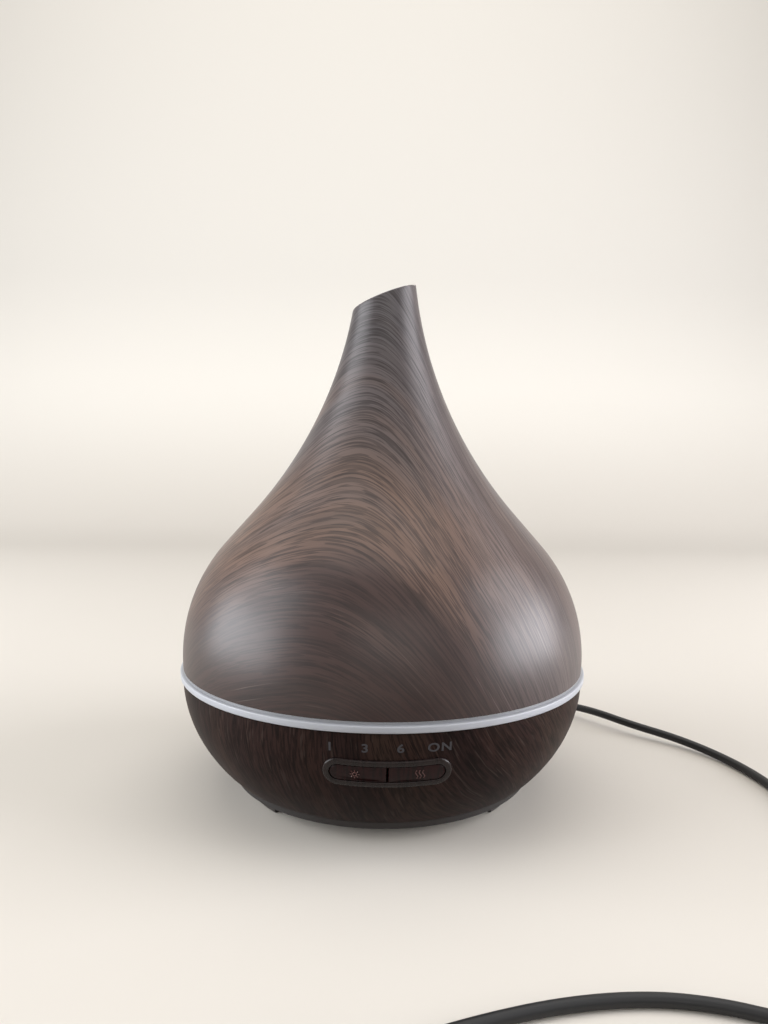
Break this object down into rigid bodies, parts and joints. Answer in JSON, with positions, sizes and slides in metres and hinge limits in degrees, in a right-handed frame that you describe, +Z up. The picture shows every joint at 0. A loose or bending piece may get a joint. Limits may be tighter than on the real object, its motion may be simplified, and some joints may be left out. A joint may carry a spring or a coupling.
{
  "type": "essential oil diffuser",
  "caption": "Teardrop ultrasonic oil diffuser: wood-grain cover with slanted nozzle, light ring, water tank, push buttons, fan, low-voltage lead with adapter.",
  "frame": {"origin": "on the table, on the axis of the drop", "axes": "+Z up the nozzle, buttons face -Y, the nozzle's high side is towards +X"},
  "size_m": [0.2483, 0.3529, 0.2073],
  "materials": {
    "wood_shell": "satin printed wood grain",
    "wood_trim": "satin dark brown",
    "milky_ring": "translucent satin",
    "white_plastic": "satin",
    "clear_tank": "milky, polished inside",
    "dark_plastic": "fine texture",
    "foot_pad": "smooth",
    "screw_steel": "zinc plated",
    "seal_rubber": "silicone",
    "disc_metal": "nickel and ceramic",
    "black_plastic": "moulded",
    "copper_winding": "enamelled wire",
    "foam": "open cell foam",
    "circuit_board": "solder mask",
    "lamp_circuit_board": "white solder mask",
    "capacitor_sleeve": "shrink sleeve",
    "sink_aluminium": "extruded",
    "chip_plastic": "moulded epoxy",
    "lamp_lens": "clear with yellow phosphor",
    "plug_metal": "nickel plated",
    "plug_rubber": "moulded, satin",
    "cord_rubber": "soft PVC, satin",
    "tie_plastic": "coated",
    "adapter_plastic": "fine spark texture"
  },
  "bodies": {
    "base": {"base_shell": "wood_shell", "button_bezel": "wood_trim", "light_ring": "milky_ring", "water_tank": "clear_tank", "duct_cap": "white_plastic", "bottom_cover": "dark_plastic", "foot_front_left": "foot_pad", "foot_front_right": "foot_pad", "foot_rear": "foot_pad", "case_screws": "screw_steel", "clamp_screws": "screw_steel", "fan_screws": "screw_steel", "board_screws": "screw_steel", "disc_seal": "seal_rubber", "ultrasonic_disc": "disc_metal", "disc_clamp": "screw_steel", "fan_frame": "black_plastic", "fan_motor": "copper_winding", "fan_gasket": "foam", "main_board": "circuit_board", "lamp_board": "lamp_circuit_board", "key_board": "circuit_board", "capacitors": "capacitor_sleeve", "inductor": "copper_winding", "heat_sink": "sink_aluminium", "driver_transistor": "chip_plastic", "control_chips": "chip_plastic", "wire_connectors": "white_plastic", "ring_lamps": "lamp_lens", "indicator_lamps": "lamp_lens", "key_switches": "black_plastic", "dc_socket": "black_plastic", "socket_pin": "plug_metal"},
    "cover": {"top_cover": "wood_shell"},
    "lid": {"splash_lid": "white_plastic"},
    "light_key": {"light_button": "wood_trim", "light_plunger": "white_plastic"},
    "mist_key": {"mist_button": "wood_trim", "mist_plunger": "white_plastic"},
    "fan_rotor": {"fan_impeller": "black_plastic"},
    "supply": {"power_cord": "cord_rubber", "cord_coil": "cord_rubber", "cord_tail": "cord_rubber", "cord_tie": "tie_plastic", "plug_sleeve": "plug_metal", "plug_body": "plug_rubber", "plug_strain_relief": "plug_rubber", "adapter_back": "adapter_plastic", "adapter_front": "adapter_plastic", "adapter_pins": "plug_metal", "adapter_board": "circuit_board", "adapter_transformer": "chip_plastic", "adapter_strain_relief": "plug_rubber"}
  },
  "joints": [
    {"name": "cover_lift", "type": "slide", "parent": "base", "child": "cover", "axis": [0, 0, 1], "range_m": [0, 0.12]},
    {"name": "lid_lift", "type": "slide", "parent": "base", "child": "lid", "axis": [0, 0, 1], "range_m": [0, 0.015]},
    {"name": "light_press", "type": "slide", "parent": "base", "child": "light_key", "axis": [0, 0.9522, 0.3056], "range_m": [0, 0.0008], "stiffness_N_per_m": 400},
    {"name": "mist_press", "type": "slide", "parent": "base", "child": "mist_key", "axis": [0, 0.9522, 0.3056], "range_m": [0, 0.0008], "stiffness_N_per_m": 400},
    {"name": "fan_spin", "type": "hinge", "parent": "base", "child": "fan_rotor", "pos_m": [-0.0346, 0, 0.0115], "axis": [0, 0, 1], "continuous": true},
    {"name": "plug_pull", "type": "slide", "parent": "base", "child": "supply", "axis": [0, 1, 0], "range_m": [0, 0.011]}
  ]
}
